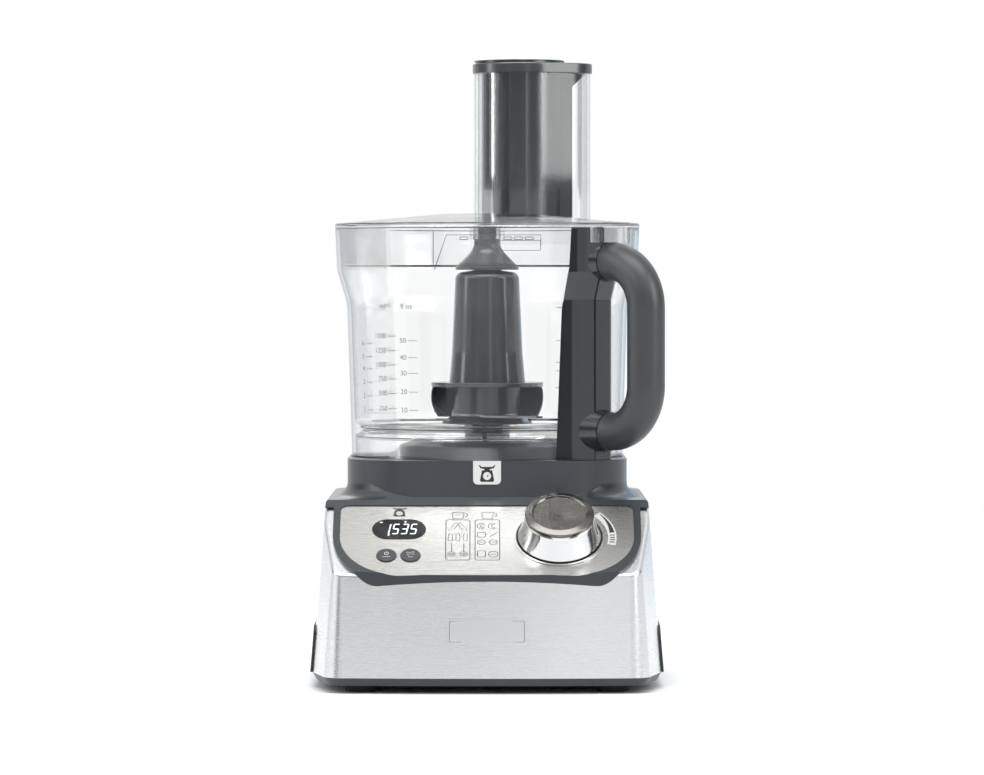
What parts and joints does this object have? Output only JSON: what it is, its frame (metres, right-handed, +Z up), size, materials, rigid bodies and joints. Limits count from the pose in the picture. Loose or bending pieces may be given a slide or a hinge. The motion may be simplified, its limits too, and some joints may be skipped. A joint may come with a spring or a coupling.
{
  "type": "food processor",
  "caption": "Food processor with a steel-wrapped base, sloping control panel and dial, clear bowl and lid, feed tube with pushers and a knife tool.",
  "frame": {"origin": "on the surface that the feet stand on, at the middle of the machine's plan", "axes": "+Z up, the control panel faces -Y, +X to the right of a person who faces the panel"},
  "size_m": [0.2282, 0.2764, 0.4125],
  "materials": {
    "steel_skin": "brushed stainless sheet, upright grain",
    "dark_plastic": "slate grey moulded plastic, satin",
    "tray_plastic": "slate grey moulded plastic, fine grain",
    "panel_steel": "brushed plate, fine cross grain",
    "black_trim": "black moulded trim",
    "plate_metal": "satin plate",
    "badge_metal": "bright satin plate",
    "lens_black": "black glossy window",
    "electronics": "circuit board",
    "chrome_knob": "bright chromed moulding",
    "smoked_metal": "smoked metal finish",
    "switch_body": "moulded switch body",
    "seal_rubber": "black rubber",
    "foot_rubber": "black rubber",
    "load_cell_alloy": "machined",
    "chassis_steel": "zinc plated pressing",
    "fastener_steel": "zinc plated",
    "stator_iron": "laminated iron with copper windings",
    "rotor_iron": "laminated iron and copper",
    "carbon": "carbon",
    "fan_plastic": "moulded",
    "pulley_alloy": "turned",
    "belt_rubber": "ribbed belt",
    "shaft_steel": "ground",
    "bearing_steel": "bearing",
    "clear_plastic": "clear copolyester",
    "gloss_grey": "glossy slate grey moulding",
    "grip_plastic": "soft satin slate grey",
    "tool_plastic": "glossy dark grey moulding",
    "blade_steel": "ground stainless",
    "pusher_grey": "glossy grey moulding",
    "cap_metal": "satin metal cap"
  },
  "bodies": {
    "base": {"base_tray": "tray_plastic", "steel_skin": "steel_skin", "upper_housing": "dark_plastic", "rear_cover": "tray_plastic", "side_trim_right": "black_trim", "side_trim_left": "black_trim", "nameplate": "plate_metal", "scale_badge": "badge_metal", "control_panel": "panel_steel", "display_lens": "lens_black", "display_module": "electronics", "control_board": "electronics", "dial_seal": "seal_rubber", "dial_switch": "switch_body", "load_cells": "load_cell_alloy", "chassis_plate": "chassis_steel", "chassis_screws": "fastener_steel", "motor_stator": "stator_iron", "motor_frame": "chassis_steel", "carbon_brushes": "carbon", "housing_screws": "fastener_steel", "drive_belt": "belt_rubber", "lower_bearing": "bearing_steel", "upper_bearing": "bearing_steel", "spindle_seal": "seal_rubber", "interlock_switch": "switch_body", "cord_gland": "seal_rubber", "foot_front_left": "foot_rubber", "foot_front_right": "foot_rubber", "foot_rear_left": "foot_rubber", "foot_rear_right": "foot_rubber"},
    "dial": {"dial_knob": "chrome_knob", "dial_cap": "smoked_metal", "dial_shaft": "switch_body"},
    "power_button": {"button_power": "black_trim"},
    "units_button": {"button_units": "black_trim"},
    "motor": {"motor_rotor": "rotor_iron", "motor_pulley": "pulley_alloy", "cooling_fan": "fan_plastic"},
    "drive": {"spindle": "shaft_steel", "driven_pulley": "pulley_alloy", "drive_shaft": "tool_plastic"},
    "plunger": {"interlock_plunger": "switch_body"},
    "bowl_assembly": {"bowl": "clear_plastic", "handle_spine": "gloss_grey", "handle_grip": "grip_plastic"},
    "lid_rod": {"interlock_rod": "switch_body"},
    "tool": {"tool_hub": "tool_plastic", "tool_cap": "tool_plastic", "knife_lower": "blade_steel", "knife_upper": "blade_steel"},
    "lid_assembly": {"lid": "clear_plastic"},
    "large_pusher": {"pusher": "pusher_grey"},
    "small_pusher": {"inner_pusher": "pusher_grey", "pusher_cap": "cap_metal"}
  },
  "joints": [
    {"name": "dial_turn", "type": "hinge", "parent": "base", "child": "dial", "pos_m": [0.0462, -0.09897, 0.09744], "axis": [0, -0.5835, 0.8121], "range_deg": [-120, 35]},
    {"name": "power_press", "type": "slide", "parent": "base", "child": "power_button", "axis": [0, 0.5835, -0.8121], "range_m": [0, 0.0009], "stiffness_N_per_m": 900, "springref_m": -0.0006},
    {"name": "units_press", "type": "slide", "parent": "base", "child": "units_button", "axis": [0, 0.5835, -0.8121], "range_m": [0, 0.0009], "stiffness_N_per_m": 900, "springref_m": -0.0006},
    {"name": "drive_spin", "type": "hinge", "parent": "base", "child": "drive", "pos_m": [0, 0.025, 0.1], "axis": [0, 0, 1], "continuous": true},
    {"name": "motor_spin", "type": "hinge", "parent": "base", "child": "motor", "pos_m": [0, -0.052, 0.05], "axis": [0, 0, 1], "continuous": true},
    {"name": "plunger_press", "type": "slide", "parent": "base", "child": "plunger", "axis": [0, 0, -1], "range_m": [0, 0.003], "stiffness_N_per_m": 300, "springref_m": -0.001},
    {"name": "bowl_lift", "type": "slide", "parent": "base", "child": "bowl_assembly", "axis": [0, 0, 1], "range_m": [0, 0.13]},
    {"name": "rod_press", "type": "slide", "parent": "bowl_assembly", "child": "lid_rod", "axis": [0, 0, -1], "range_m": [0, 0.0006], "stiffness_N_per_m": 400, "springref_m": -0.001},
    {"name": "tool_spin", "type": "hinge", "parent": "bowl_assembly", "child": "tool", "pos_m": [0, 0.025, 0.2], "axis": [0, 0, 1], "continuous": true},
    {"name": "lid_lift", "type": "slide", "parent": "bowl_assembly", "child": "lid_assembly", "axis": [0, 0, 1], "range_m": [0, 0.08]},
    {"name": "large_pusher_lift", "type": "slide", "parent": "lid_assembly", "child": "large_pusher", "axis": [0, 0, 1], "range_m": [0, 0.1]},
    {"name": "small_pusher_lift", "type": "slide", "parent": "large_pusher", "child": "small_pusher", "axis": [0, 0, 1], "range_m": [0, 0.1]}
  ],
  "couplings": [
    {"joint": "motor_spin", "follows": "drive_spin", "ratio": 4.6667},
    {"joint": "tool_spin", "follows": "drive_spin", "ratio": 1}
  ]
}
